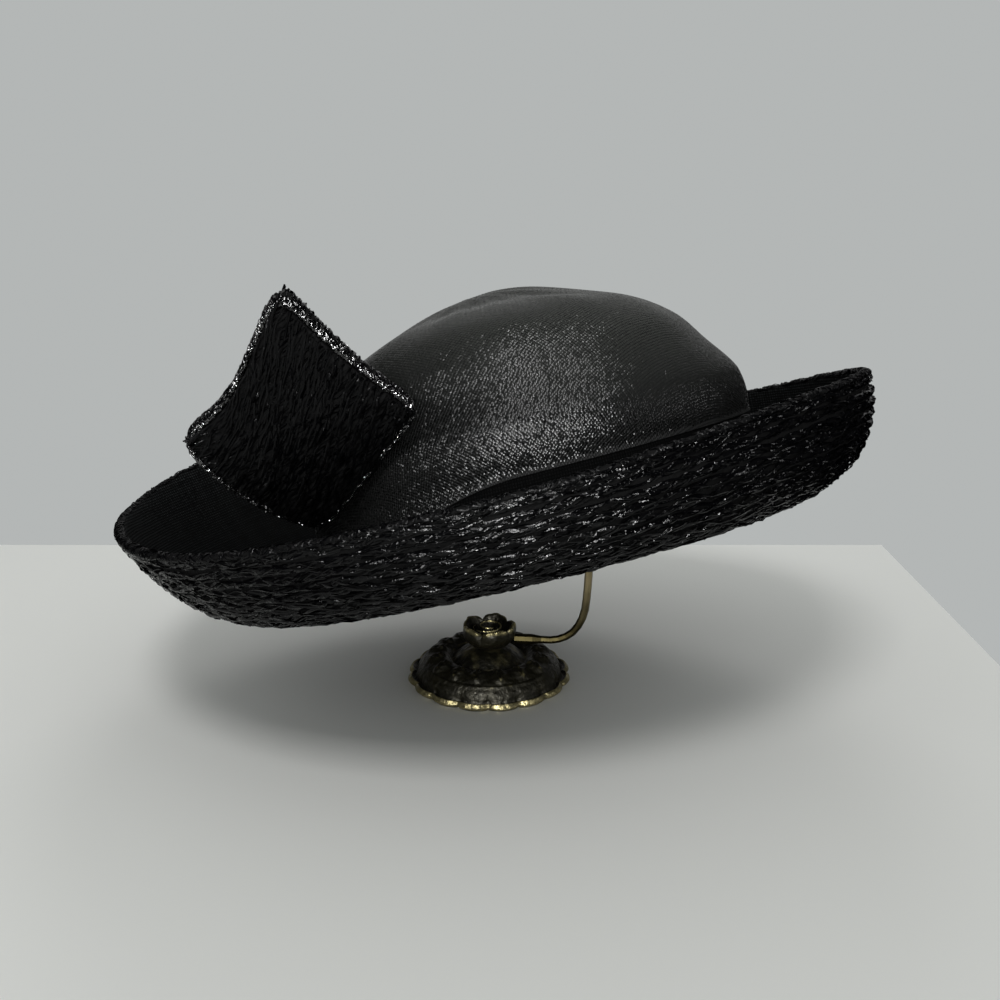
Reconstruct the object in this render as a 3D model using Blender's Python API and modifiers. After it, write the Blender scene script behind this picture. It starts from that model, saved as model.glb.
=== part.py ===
"""Black straw hat with an upturned brim and a square braid bow, on a small brass hat stand.

Metres, +Z up. The origin is the centre of the stand's foot, on the table.
The hat's front points along -X, and the hat is tipped on the stand, so its own frame
is an empty that all of its pieces are parented to.
"""

import math
from collections import namedtuple

import bmesh
import bpy
from mathutils import Matrix, Vector

COLLECTION = "straw_hat_on_stand"

# Layers and clearances
CLOTH = 0.0018
BRAID = 0.0022
ROW_RELIEF = 0.0007
GAP = 0.0003

# Head opening and crown
HEAD_LENGTH = 0.199
HEAD_WIDTH = 0.166
CROWN_HEIGHT = 0.0756
CROWN_FORWARD = 0.0116
CROWN_SEGMENTS = 48
CROWN_SHARES = (0.0, 0.14, 0.28, 0.42, 0.55, 0.67, 0.78, 0.88, 0.96)

# Brim
RIM_LENGTH = 0.333
RIM_WIDTH = 0.257
RIM_FORWARD = 0.0165
VALLEY_DROP = 0.0378
RIM_RISE = 0.0465
BRIM_SEGMENTS = 52
BRIM_STEPS = 8
COVER_START = 0.25
COVER_STEPS = 6
BRAID_ROWS = 12
RIM_BRAID_HEIGHT = 0.0034
RIM_BRAID_SIDES = 6

# Where the hat sits on the stand
HAT_PLACE = Vector((0.0193, 0.0010, 0.1093))
HAT_TILT = 14.8
HAT_LEAN = -12.4
HAT_TURN = 4.5

# Bow: the corners of its face in the hat's frame, its padding and its edging
BOW_BOTTOM = Vector((-0.0925, -0.0517, -0.0075))
BOW_RIGHT = Vector((-0.0374, -0.0932, 0.0308))
BOW_TOP = Vector((-0.0772, -0.1004, 0.0870))
BOW_LEFT = Vector((-0.1354, -0.0787, 0.0450))
BOW_THICKNESS = 0.0090
BOW_THINNING = 0.55
BOW_PUFF = 0.0015
BOW_HOLLOW_SIDE = 0.0076
BOW_HOLLOW_RIGHT = 0.0040
BOW_ROUND_SIDE = 0.0080
BOW_CORNER_POWER = 8.0
BOW_POINTS = 36
EDGING = 0.0030
EDGING_SIDES = 6
FOLD_ANGLE = 222.0
FOLD_SHARE = 0.24
FOLD_REACH = 14.0
FOLD_REACH_UP = 0.17
FOLD_SIZE = 0.30

# Stand
FOOT_RADIUS = 0.0392
FOOT_SEGMENTS = 64
SCALLOPS = 16
SCALLOP_DEPTH = 0.0016
LEAF_RELIEF = 0.0008
PETALS = 5
ROSETTE_SEGMENTS = 35
PETAL_WAVE = 0.0010
ARM_RADIUS = 0.0019
FERRULE_RADIUS = 0.0026
ARM_SIDES = 8
ARM_STEPS = 28
PAD_RINGS = 3
PAD_GAP = 0.0006
PAD_SEGMENTS = 24
PAD_THICKNESS = 0.009

# Dome of the crown, from its lower edge to its top, as shares of its height and its half oval
DomeRow = namedtuple("DomeRow", "up out")
DOME = (
    DomeRow(up=0.00, out=1.00),
    DomeRow(up=0.20, out=0.99),
    DomeRow(up=0.42, out=0.895),
    DomeRow(up=0.62, out=0.806),
    DomeRow(up=0.79, out=0.641),
    DomeRow(up=0.91, out=0.365),
    DomeRow(up=0.98, out=0.155),
    DomeRow(up=1.00, out=0.00),
)

# Soft dents, and swells of negative depth, in the crown: place and spread as shares of the
# head's half length and half width, depth as a share of the crown's height
Dent = namedtuple("Dent", "along across long wide depth")
DENTS = (
    Dent(along=-0.02, across=-0.22, long=0.42, wide=0.15, depth=0.034),
    Dent(along=-0.24, across=0.22, long=0.30, wide=0.35, depth=0.026),
    Dent(along=0.30, across=0.25, long=0.30, wide=0.30, depth=-0.074),
    Dent(along=-0.68, across=0.00, long=0.25, wide=0.50, depth=0.068),
)

# Brim from the crown's edge to the rim: how far out, at a front that lies open and at a
# back that is rolled up, how far down to the valley and how far up to the rim
BrimRow = namedtuple("BrimRow", "open rolled down up")
BRIM_PROFILE = (
    BrimRow(open=0.00, rolled=0.00, down=0.00, up=0.00),
    BrimRow(open=0.08, rolled=0.10, down=0.55, up=0.00),
    BrimRow(open=0.19, rolled=0.24, down=0.92, up=0.00),
    BrimRow(open=0.33, rolled=0.42, down=1.00, up=0.02),
    BrimRow(open=0.49, rolled=0.62, down=1.00, up=0.10),
    BrimRow(open=0.64, rolled=0.79, down=1.00, up=0.25),
    BrimRow(open=0.78, rolled=0.91, down=1.00, up=0.47),
    BrimRow(open=0.90, rolled=0.98, down=1.00, up=0.73),
    BrimRow(open=1.00, rolled=1.00, down=1.00, up=1.00),
)

# Round the brim, anticlockwise from the back: the valley's depth as a share of VALLEY_DROP,
# the rim's rise above the valley as a share of RIM_RISE, and how far the brim is rolled up
Around = namedtuple("Around", "degrees drop rise roll")
BRIM_AROUND = (
    Around(degrees=0, drop=1.03, rise=0.85, roll=1.00),
    Around(degrees=45, drop=1.00, rise=0.86, roll=0.95),
    Around(degrees=90, drop=1.00, rise=1.24, roll=1.00),
    Around(degrees=135, drop=1.00, rise=1.65, roll=0.55),
    Around(degrees=180, drop=1.00, rise=1.27, roll=0.08),
    Around(degrees=225, drop=1.00, rise=0.78, roll=0.55),
    Around(degrees=270, drop=1.02, rise=0.68, roll=1.00),
    Around(degrees=315, drop=1.06, rise=0.84, roll=0.95),
)

# Foot from its underside to its top: radius as a share of FOOT_RADIUS, height in metres,
# and shares of the scallops' depth and of the cast leaves' relief
FootRow = namedtuple("FootRow", "out height scallop leaf")
FOOT_PROFILE = (
    FootRow(out=0.960, height=0.0000, scallop=1.0, leaf=0.0),
    FootRow(out=1.000, height=0.0016, scallop=1.0, leaf=0.0),
    FootRow(out=0.970, height=0.0031, scallop=1.0, leaf=0.0),
    FootRow(out=0.905, height=0.0030, scallop=0.7, leaf=0.0),
    FootRow(out=0.860, height=0.0064, scallop=0.2, leaf=0.6),
    FootRow(out=0.770, height=0.0098, scallop=0.0, leaf=1.0),
    FootRow(out=0.660, height=0.0120, scallop=0.0, leaf=-1.0),
    FootRow(out=0.560, height=0.0126, scallop=0.0, leaf=0.4),
    FootRow(out=0.490, height=0.0112, scallop=0.0, leaf=0.0),
    FootRow(out=0.450, height=0.0098, scallop=0.0, leaf=0.0),
    FootRow(out=0.320, height=0.0140, scallop=0.0, leaf=0.0),
    FootRow(out=0.190, height=0.0165, scallop=0.0, leaf=0.0),
)

# Flower cup above the foot: radius, height, and share of the petals' wave
PetalRow = namedtuple("PetalRow", "radius height wave")
ROSETTE_PROFILE = (
    PetalRow(radius=0.0045, height=0.0168, wave=0.0),
    PetalRow(radius=0.0092, height=0.0178, wave=0.2),
    PetalRow(radius=0.0118, height=0.0206, wave=0.8),
    PetalRow(radius=0.0124, height=0.0240, wave=1.0),
    PetalRow(radius=0.0115, height=0.0266, wave=1.2),
    PetalRow(radius=0.0101, height=0.0260, wave=1.2),
    PetalRow(radius=0.0086, height=0.0222, wave=0.6),
    PetalRow(radius=0.0068, height=0.0214, wave=-0.4),
    PetalRow(radius=0.0050, height=0.0260, wave=-0.8),
    PetalRow(radius=0.0026, height=0.0238, wave=0.0),
)

# Path of the bent rod, from the flower cup to the pad under the crown
ArmPoint = namedtuple("ArmPoint", "x y z")
ARM_PATH = (
    ArmPoint(x=0.0121, y=0.0000, z=0.0196),
    ArmPoint(x=0.0220, y=0.0000, z=0.0192),
    ArmPoint(x=0.0320, y=0.0000, z=0.0190),
    ArmPoint(x=0.0400, y=0.0000, z=0.0228),
    ArmPoint(x=0.0450, y=0.0000, z=0.0315),
    ArmPoint(x=0.0466, y=0.0000, z=0.0440),
    ArmPoint(x=0.0472, y=0.0000, z=0.0600),
    ArmPoint(x=0.0472, y=0.0005, z=0.0800),
    ArmPoint(x=0.0455, y=0.0020, z=0.1000),
    ArmPoint(x=0.0370, y=0.0050, z=0.1190),
)


def catmull(before, start, end, after, share):
    """Smooth value between start and end, from four values at even steps."""
    bend = 2 * before - 5 * start + 4 * end - after
    twist = 3 * (start - end) + after - before
    return start + 0.5 * share * (end - before + share * (bend + share * twist))


def along_values(values, share):
    """Smooth value at a share of the way from the first value to the last."""
    place = share * (len(values) - 1)
    i = min(int(place), len(values) - 2)
    before = values[i - 1] if i > 0 else 2 * values[0] - values[1]
    after = values[i + 2] if i + 2 < len(values) else 2 * values[-1] - values[-2]
    return catmull(before, values[i], values[i + 1], after, place - i)


def along_table(rows, column, share):
    return along_values([getattr(row, column) for row in rows], share)


def around_table(rows, column, angle):
    """Value of a table's column at an angle, where the rows go once round at even steps."""
    place = (angle / math.tau) % 1.0 * len(rows)
    i = int(place)
    near = [getattr(rows[(i + k) % len(rows)], column) for k in (-1, 0, 1, 2)]
    return catmull(*near, place - i)


def steps(count, start=0.0, end=1.0):
    """Shares from start to end in this many even steps."""
    return [start + (end - start) * i / count for i in range(count + 1)]


def turns(count):
    """Angles once round, without the last, which is the first again."""
    return [math.tau * i / count for i in range(count)]


def oval(angle, length, width):
    return Vector((0.5 * length * math.cos(angle), 0.5 * width * math.sin(angle), 0.0))


def surface_layer(surface, angle, share, depth):
    """Point this deep below a surface of angle and share, square to it."""
    step = 1e-3
    low = max(share - step, 0.0)
    high = min(share + step, 1.0)
    outward = surface(angle, high) - surface(angle, low)
    sideways = surface(angle + step, share) - surface(angle - step, share)
    return surface(angle, share) - depth * outward.cross(sideways).normalized()


def crown_point(angle, share):
    """Point on the outside of the crown, from its lower edge at share 0 to its top at 1."""
    out = along_table(DOME, "out", share)
    up = along_table(DOME, "up", share)
    point = oval(angle, HEAD_LENGTH + 2 * CLOTH, HEAD_WIDTH + 2 * CLOTH) * out
    along = 2 * point.x / HEAD_LENGTH
    across = 2 * point.y / HEAD_WIDTH
    height = up
    for dent in DENTS:
        off = ((along - dent.along) / dent.long) ** 2 + ((across - dent.across) / dent.wide) ** 2
        height -= dent.depth * math.exp(-off) * min(1.0, 2 * up)
    point.x -= CROWN_FORWARD * up * up
    point.z = GAP + CROWN_HEIGHT * height
    return point


def crown_layer(angle, share, depth):
    return surface_layer(crown_point, angle, share, -depth)


def brim_point(angle, share):
    """Point on the brim's upper face, from the crown's edge at share 0 to the rim at 1."""
    roll = around_table(BRIM_AROUND, "roll", angle)
    rise = around_table(BRIM_AROUND, "rise", angle) * RIM_RISE
    out_open = along_table(BRIM_PROFILE, "open", share)
    out_rolled = along_table(BRIM_PROFILE, "rolled", share)
    out = out_open + (out_rolled - out_open) * roll
    edge = oval(angle, HEAD_LENGTH, HEAD_WIDTH)
    rim = oval(angle, RIM_LENGTH, RIM_WIDTH) + Vector((-RIM_FORWARD, 0.0, 0.0))
    point = edge.lerp(rim, out)
    point.z = rise * along_table(BRIM_PROFILE, "up", share)
    drop = around_table(BRIM_AROUND, "drop", angle) * VALLEY_DROP
    point.z -= drop * along_table(BRIM_PROFILE, "down", share)
    return point


def brim_layer(angle, share, depth):
    return surface_layer(brim_point, angle, share, depth)


def bow_point(u, v, lift):
    """Point of the bow's face at shares of its two sides, lifted off it to the front."""
    lower = BOW_BOTTOM.lerp(BOW_RIGHT, u)
    upper = BOW_LEFT.lerp(BOW_TOP, u)
    point = lower.lerp(upper, v)
    side_u = (BOW_RIGHT - BOW_BOTTOM).normalized()
    side_v = (BOW_LEFT - BOW_BOTTOM).normalized()
    point -= BOW_HOLLOW_SIDE * 6.75 * u * (1 - u) ** 2 * v * side_v
    point -= BOW_HOLLOW_RIGHT * 4 * v * (1 - v) * u * side_u
    point -= BOW_ROUND_SIDE * 4 * v * (1 - v) * (1 - u) * side_u
    return point + lift * side_u.cross(side_v).normalized()


def bow_thickness(v):
    """Thickness of the bow's padding at a share of the way up."""
    return BOW_THICKNESS * (1 - BOW_THINNING * (1 - v))


def bow_ring(size, depth_share, inset=0.0):
    """Ring of points round the bow, inside its edge by a length, at a share of its thickness."""
    width = (BOW_RIGHT - BOW_BOTTOM).length
    ring = []
    for angle in turns(BOW_POINTS):
        across = math.cos(angle)
        up = math.sin(angle)
        power = BOW_CORNER_POWER
        reach = (abs(across) ** power + abs(up) ** power) ** (-1 / power)
        reach *= size - 2 * inset / width
        u = 0.5 + 0.5 * reach * across
        v = 0.5 + 0.5 * reach * up
        puff = BOW_PUFF * (1 - size * size) * (1 - 2 * depth_share)
        ring.append(bow_point(u, v, puff - depth_share * bow_thickness(v)))
    return ring


def add_object(name, mesh, material, parent=None):
    obj = bpy.data.objects.new(name, mesh)
    mesh.materials.append(material)
    bpy.data.collections[COLLECTION].objects.link(obj)
    obj.parent = parent
    return obj


def loft(name, rings, material, parent=None, closed_section=False, caps=()):
    """Object whose faces join closed rings of points; caps lists the rings to close."""
    mesh = bpy.data.meshes.new(name)
    bm = bmesh.new()
    loops = [[bm.verts.new(point) for point in ring] for ring in rings]
    pairs = list(zip(loops, loops[1:]))
    if closed_section:
        pairs.append((loops[-1], loops[0]))
    for lower, upper in pairs:
        for i in range(len(lower)):
            j = (i + 1) % len(lower)
            bm.faces.new((lower[i], lower[j], upper[j], upper[i]))
    for cap in caps:
        bm.faces.new(loops[cap])
    bmesh.ops.recalc_face_normals(bm, faces=bm.faces)
    bm.to_mesh(mesh)
    bm.free()
    mesh.shade_smooth()
    return add_object(name, mesh, material, parent)


def make_material(name, colour, roughness, metallic=0.0):
    material = bpy.data.materials.new(name)
    material.use_nodes = True
    shader = material.node_tree.nodes["Principled BSDF"]
    shader.inputs["Base Color"].default_value = (*colour, 1.0)
    shader.inputs["Roughness"].default_value = roughness
    shader.inputs["Metallic"].default_value = metallic
    return material


def make_crown(material, parent):
    rings = [
        [crown_point(angle, share) for angle in turns(CROWN_SEGMENTS)]
        for share in CROWN_SHARES
    ]
    crown = loft("crown", rings, material, parent, caps=(-1,))
    wall = crown.modifiers.new("wall", "SOLIDIFY")
    wall.thickness = CLOTH
    wall.offset = -1
    return crown


def make_brim(material, parent):
    def section(angle):
        upper = [brim_layer(angle, share, 0.0) for share in steps(BRIM_STEPS)]
        lower = [brim_layer(angle, share, CLOTH) for share in steps(BRIM_STEPS)]
        return upper + lower[::-1]

    rings = [section(angle) for angle in turns(BRIM_SEGMENTS)]
    return loft("brim", rings, material, parent, closed_section=True)


def make_braid_cover(material, parent):
    """Braid sewn row beside row under the brim, from the head opening out to the rim."""

    def section(angle):
        top = CLOTH + GAP
        inner = [brim_layer(angle, share, top) for share in steps(COVER_STEPS, COVER_START)]
        outer = []
        for i, share in enumerate(steps(2 * BRAID_ROWS, COVER_START)):
            ridge = ROW_RELIEF if i % 2 else 0.0
            outer.append(brim_layer(angle, share, top + BRAID - ROW_RELIEF + ridge))
        return inner + outer[::-1]

    rings = [section(angle) for angle in turns(BRIM_SEGMENTS)]
    return loft("braid_cover", rings, material, parent, closed_section=True)


def make_rim_braid(material, parent):
    """One more row of braid that caps the edges of the brim and its cover."""
    layers = CLOTH + GAP + BRAID

    def section(angle):
        top = brim_point(angle, 1.0)
        across = brim_layer(angle, 1.0, layers) - top
        along = (top - brim_point(angle, 0.99)).normalized()
        middle = top + 0.5 * across + (GAP + 0.5 * RIM_BRAID_HEIGHT) * along
        return [
            middle
            + 0.55 * math.cos(turn) * across
            + 0.5 * RIM_BRAID_HEIGHT * math.sin(turn) * along
            for turn in turns(RIM_BRAID_SIDES)
        ]

    rings = [section(angle) for angle in turns(BRIM_SEGMENTS)]
    return loft("rim_braid", rings, material, parent, closed_section=True)


def make_bow_panel(material, parent):
    inset = EDGING + GAP
    rings = [
        bow_ring(0.30, 0.0),
        bow_ring(0.60, 0.0),
        bow_ring(0.85, 0.0),
        bow_ring(1.0, 0.08, inset),
        bow_ring(1.0, 0.30, inset),
        bow_ring(1.0, 0.70, inset),
        bow_ring(1.0, 0.92, inset),
        bow_ring(0.85, 1.0),
        bow_ring(0.55, 1.0),
        bow_ring(0.25, 1.0),
    ]
    return loft("bow_panel", rings, material, parent, caps=(0, -1))


def make_bow_edging(material, parent):
    """Looped braid sewn round the bow's edge."""
    outer = bow_ring(1.0, 0.5)
    inner = bow_ring(1.0, 0.5, EDGING)
    front = bow_ring(1.0, 0.0, 0.5 * EDGING)
    back = bow_ring(1.0, 1.0, 0.5 * EDGING)
    rings = []
    for i in range(BOW_POINTS):
        middle = 0.5 * (outer[i] + inner[i])
        outward = 0.5 * (outer[i] - inner[i])
        forward = 0.5 * (front[i] - back[i])
        rings.append(
            [
                middle + math.cos(turn) * outward + math.sin(turn) * forward
                for turn in turns(EDGING_SIDES)
            ]
        )
    return loft("bow_edging", rings, material, parent, closed_section=True)


def make_bow_fold(material, parent):
    """Plain fold behind the bow that holds it off the crown."""
    clear = 1.5 * GAP

    def panel_ring(size):
        ring = []
        for turn in turns(PAD_SEGMENTS):
            u = 0.45 + size * FOLD_SIZE * math.cos(turn)
            v = 0.45 + size * FOLD_SIZE * math.sin(turn)
            ring.append(bow_point(u, v, -bow_thickness(v) - BOW_PUFF - clear))
        return ring

    def crown_ring(size):
        return [
            crown_layer(
                math.radians(FOLD_ANGLE + size * FOLD_REACH * math.cos(turn)),
                FOLD_SHARE + size * FOLD_REACH_UP * math.sin(turn),
                -clear,
            )
            for turn in turns(PAD_SEGMENTS)
        ]

    rings = [panel_ring(0.5), panel_ring(1.0), crown_ring(1.0), crown_ring(0.6), crown_ring(0.25)]
    return loft("bow_fold", rings, material, parent, caps=(0, -1))


def make_foot(material):
    rings = []
    for row in FOOT_PROFILE:
        ring = []
        for angle in turns(FOOT_SEGMENTS):
            lobe = abs(math.sin(0.5 * SCALLOPS * angle))
            radius = FOOT_RADIUS * row.out - SCALLOP_DEPTH * row.scallop * (1 - lobe)
            height = row.height + LEAF_RELIEF * row.leaf * math.cos(SCALLOPS * angle)
            ring.append(Vector((radius * math.cos(angle), radius * math.sin(angle), height)))
        rings.append(ring)
    return loft("stand_foot", rings, material, caps=(0, -1))


def make_rosette(material):
    rings = []
    for row in ROSETTE_PROFILE:
        ring = []
        for angle in turns(ROSETTE_SEGMENTS):
            wave = PETAL_WAVE * row.wave * math.cos(PETALS * angle + math.pi)
            radius = row.radius + 0.5 * wave
            height = row.height + wave
            ring.append(Vector((radius * math.cos(angle), radius * math.sin(angle), height)))
        rings.append(ring)
    return loft("stand_rosette", rings, material, caps=(0, -1))


def hat_matrix():
    """The hat's own frame, in the stand's."""
    tilt = Matrix.Rotation(math.radians(-HAT_TILT), 3, "Y")
    lean = Matrix.Rotation(math.radians(HAT_LEAN), 3, "X")
    turn = Matrix.Rotation(math.radians(HAT_TURN), 3, "Z")
    return Matrix.Translation(HAT_PLACE) @ (tilt @ lean @ turn).to_4x4()


def pad_rings():
    """Rings of the pad in the hat's frame: its top follows the inside of the crown."""
    depth = CLOTH + PAD_GAP
    top = [
        [crown_layer(angle, share, depth) for angle in turns(PAD_SEGMENTS)]
        for share in CROWN_SHARES[: -PAD_RINGS - 1 : -1]
    ]
    edge = top[-1]
    centre = sum(edge, Vector()) / len(edge)
    down = Vector((0.0, 0.0, -PAD_THICKNESS))
    lower = [
        [centre + (point - centre) * size + down * drop for point in edge]
        for size, drop in ((0.97, 0.30), (0.80, 0.62), (0.45, 0.80))
    ]
    return top + lower


def make_pad(material, parent):
    return loft("stand_pad", pad_rings(), material, parent, caps=(0, -1))


def make_arm(material, frame):
    """Rod that bends up from the flower cup and back in under the middle of the crown."""
    under = pad_rings()[-1]
    below = frame @ (sum(under, Vector()) / len(under))
    upward = frame.to_3x3() @ Vector((0.0, 0.0, 1.0))
    end = below - GAP * upward
    points = [Vector(point) for point in ARM_PATH]
    points += [end - 0.026 * upward, end - 0.012 * upward, end]
    middles = [
        Vector([along_values([point[axis] for point in points], share) for axis in range(3)])
        for share in steps(ARM_STEPS)
    ]
    rings = []
    for i, middle in enumerate(middles):
        ahead = middles[min(i + 1, ARM_STEPS)] - middles[max(i - 1, 0)]
        ahead = upward if i == ARM_STEPS else ahead.normalized()
        sideways = ahead.cross(Vector((0.0, 1.0, 0.0))).normalized()
        forward = sideways.cross(ahead)
        radius = FERRULE_RADIUS if i < 3 else ARM_RADIUS
        rings.append(
            [
                middle + radius * (math.cos(turn) * sideways + math.sin(turn) * forward)
                for turn in turns(ARM_SIDES)
            ]
        )
    return loft("stand_arm", rings, material, caps=(0, -1))


def main():
    for obj in list(bpy.data.objects):
        bpy.data.objects.remove(obj)
    hat = bpy.data.collections.new(COLLECTION)
    bpy.context.scene.collection.children.link(hat)
    cloth = make_material("straw_cloth", (0.035, 0.037, 0.035), 0.5)
    braid = make_material("braid", (0.008, 0.008, 0.009), 0.25)
    brass = make_material("aged_brass", (0.30, 0.24, 0.12), 0.35, 1.0)
    frame = bpy.data.objects.new("hat_frame", None)
    hat.objects.link(frame)
    frame.matrix_world = hat_matrix()
    make_crown(cloth, frame)
    make_brim(cloth, frame)
    make_braid_cover(braid, frame)
    make_rim_braid(braid, frame)
    make_bow_panel(braid, frame)
    make_bow_edging(braid, frame)
    make_bow_fold(braid, frame)
    make_foot(brass)
    make_rosette(brass)
    make_arm(brass, hat_matrix())
    make_pad(brass, frame)


main()
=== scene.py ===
"""Looks of the black straw hat on its brass stand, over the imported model.

Metres, +Z up. The hat's front points along -X. The shapes repeat the part's named sizes.
"""

import math
from collections import namedtuple

import bpy
import numpy as np
from mathutils import Matrix


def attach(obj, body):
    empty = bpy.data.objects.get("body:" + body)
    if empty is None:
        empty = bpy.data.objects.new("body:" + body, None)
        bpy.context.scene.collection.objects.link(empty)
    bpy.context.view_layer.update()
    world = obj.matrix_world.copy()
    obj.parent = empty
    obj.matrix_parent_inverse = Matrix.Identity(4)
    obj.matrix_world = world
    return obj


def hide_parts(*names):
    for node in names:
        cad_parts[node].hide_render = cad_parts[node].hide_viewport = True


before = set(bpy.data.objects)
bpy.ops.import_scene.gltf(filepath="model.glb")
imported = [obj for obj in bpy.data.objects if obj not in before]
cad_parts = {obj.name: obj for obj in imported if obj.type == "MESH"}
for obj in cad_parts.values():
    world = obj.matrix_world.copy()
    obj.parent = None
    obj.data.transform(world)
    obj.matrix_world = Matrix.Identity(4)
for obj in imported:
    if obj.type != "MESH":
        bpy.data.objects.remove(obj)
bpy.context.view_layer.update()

rng = np.random.default_rng(20)

# Layers and clearances
CLOTH = 0.0018
BRAID = 0.0022
GAP = 0.0003

# Head opening and crown
HEAD_LENGTH = 0.199
HEAD_WIDTH = 0.166
CROWN_HEIGHT = 0.0756
CROWN_FORWARD = 0.0116

# Brim
RIM_LENGTH = 0.333
RIM_WIDTH = 0.257
RIM_FORWARD = 0.0165
VALLEY_DROP = 0.0378
RIM_RISE = 0.0465
COVER_START = 0.25
COLLAR_COVER = 0.15

# Where the hat sits on the stand
HAT_PLACE = (0.0193, 0.0010, 0.1093)
HAT_TILT = 14.8
HAT_LEAN = -12.4
HAT_TURN = 4.5

# Bow
BOW_BOTTOM = np.array([-0.0925, -0.0517, -0.0075])
BOW_RIGHT = np.array([-0.0374, -0.0932, 0.0308])
BOW_TOP = np.array([-0.0772, -0.1004, 0.0870])
BOW_LEFT = np.array([-0.1354, -0.0787, 0.0450])
BOW_THICKNESS = 0.0090
BOW_THINNING = 0.55
BOW_PUFF = 0.0015
BOW_HOLLOW_SIDE = 0.0076
BOW_HOLLOW_RIGHT = 0.0040
BOW_ROUND_SIDE = 0.0080
BOW_CORNER_POWER = 8.0
EDGING = 0.0030

# Stand
FOOT_RADIUS = 0.0392
SCALLOPS = 16
SCALLOP_DEPTH = 0.0022
LEAF_RELIEF = 0.0012
PETALS = 5
PETAL_WAVE = 0.0010

# Finish: sizes of the weave and of the sewn braid
WEAVE = 0.00125
WEAVE_TURN = 52.0
FLOAT_LENGTH = 0.48
FLOAT_WIDTH = 0.34
FLOAT_RISE = 0.00019
FLOAT_BASE = 0.00004
FLOAT_LEAN = 0.00005
FLOAT_DRIFT = 0.06
TOP_CLEARANCE = 0.0008
MEAN_RADIUS = 0.115
ROW_WIDTH = 0.0047
ROW_STRANDS = 6
ROW_BULGE = 0.0013
STRAND_WIDTH = 0.00110
STRAND_THICKNESS = 0.00030
LOOP_THICKNESS = 0.00040
PLAIT = 0.034
BOW_ROW = 0.042
BOW_ROW_STRANDS = 5
LOOP_PITCH = 0.0027
FACE_LOOPS = 95
RIM_STRANDS = 7
RIM_PITCH = 0.017
UPPER_ROWS = 5
WALL_ROWS = 11
SHORTEST_ROW = 12
FRAYS = 1600
RIM_FRAYS = 900

# Rings of the bow's body: sizes on its face and back, depths along its edge
FACE_SIZES = (0.02, 0.20, 0.40, 0.60, 0.80, 0.92)
EDGE_DEPTHS = (0.10, 0.30, 0.50, 0.70, 0.90)
BACK_SIZES = (0.92, 0.80, 0.55, 0.25, 0.02)

# The crown's cloth below its hem, where it runs down over the brim's collar
HEM_SHARE = 0.028
HEM_SMOOTHING = 8
SKIRT_ROWS = 9
SKIRT_START = 266.0
SKIRT_SPREAD = 40.0
SKIRT_CLEARANCE = 0.0007
SKIRT_THICKNESS = 0.0005
COLLAR_TUCK = 0.02

# Steps of the meshes
CROWN_COLUMNS = 168
BRIM_COLUMNS = 176
BRIM_ROWS = 44
SKIN_COLUMNS = 720
SKIN_STEP = 0.0005
ROW_STEP = 0.0018
UNDER_STEP = 0.0036
FACE_STEPS = 66
BACK_STEPS = 30
LOOP_STEPS = 2500
FACE_LOOP_STEPS = 760
BACKING_COLUMNS = 144
BACKING_ROWS = 24
RIM_STEPS = 840
EDGING_STEPS = 1500
FOOT_COLUMNS = 256
FOOT_ROWS = 96
ROSETTE_COLUMNS = 160
ROSETTE_ROWS = 66

DomeRow = namedtuple("DomeRow", "up out")
DOME = (
    DomeRow(up=0.00, out=1.00),
    DomeRow(up=0.20, out=0.99),
    DomeRow(up=0.42, out=0.895),
    DomeRow(up=0.62, out=0.806),
    DomeRow(up=0.79, out=0.641),
    DomeRow(up=0.91, out=0.365),
    DomeRow(up=0.98, out=0.155),
    DomeRow(up=1.00, out=0.00),
)

Dent = namedtuple("Dent", "along across long wide depth")
DENTS = (
    Dent(along=-0.02, across=-0.22, long=0.42, wide=0.15, depth=0.034),
    Dent(along=-0.24, across=0.22, long=0.30, wide=0.35, depth=0.026),
    Dent(along=0.30, across=0.25, long=0.30, wide=0.30, depth=-0.074),
    Dent(along=-0.68, across=0.00, long=0.25, wide=0.50, depth=0.068),
)

BrimRow = namedtuple("BrimRow", "open rolled down up")
BRIM_PROFILE = (
    BrimRow(open=0.00, rolled=0.00, down=0.00, up=0.00),
    BrimRow(open=0.08, rolled=0.10, down=0.55, up=0.00),
    BrimRow(open=0.19, rolled=0.24, down=0.92, up=0.00),
    BrimRow(open=0.33, rolled=0.42, down=1.00, up=0.02),
    BrimRow(open=0.49, rolled=0.62, down=1.00, up=0.10),
    BrimRow(open=0.64, rolled=0.79, down=1.00, up=0.25),
    BrimRow(open=0.78, rolled=0.91, down=1.00, up=0.47),
    BrimRow(open=0.90, rolled=0.98, down=1.00, up=0.73),
    BrimRow(open=1.00, rolled=1.00, down=1.00, up=1.00),
)

Around = namedtuple("Around", "degrees drop rise roll")
BRIM_AROUND = (
    Around(degrees=0, drop=1.03, rise=0.85, roll=1.00),
    Around(degrees=45, drop=1.00, rise=0.86, roll=0.95),
    Around(degrees=90, drop=1.00, rise=1.24, roll=1.00),
    Around(degrees=135, drop=1.00, rise=1.65, roll=0.55),
    Around(degrees=180, drop=1.00, rise=1.27, roll=0.08),
    Around(degrees=225, drop=1.00, rise=0.78, roll=0.55),
    Around(degrees=270, drop=1.02, rise=0.68, roll=1.00),
    Around(degrees=315, drop=1.06, rise=0.84, roll=0.95),
)

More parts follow.
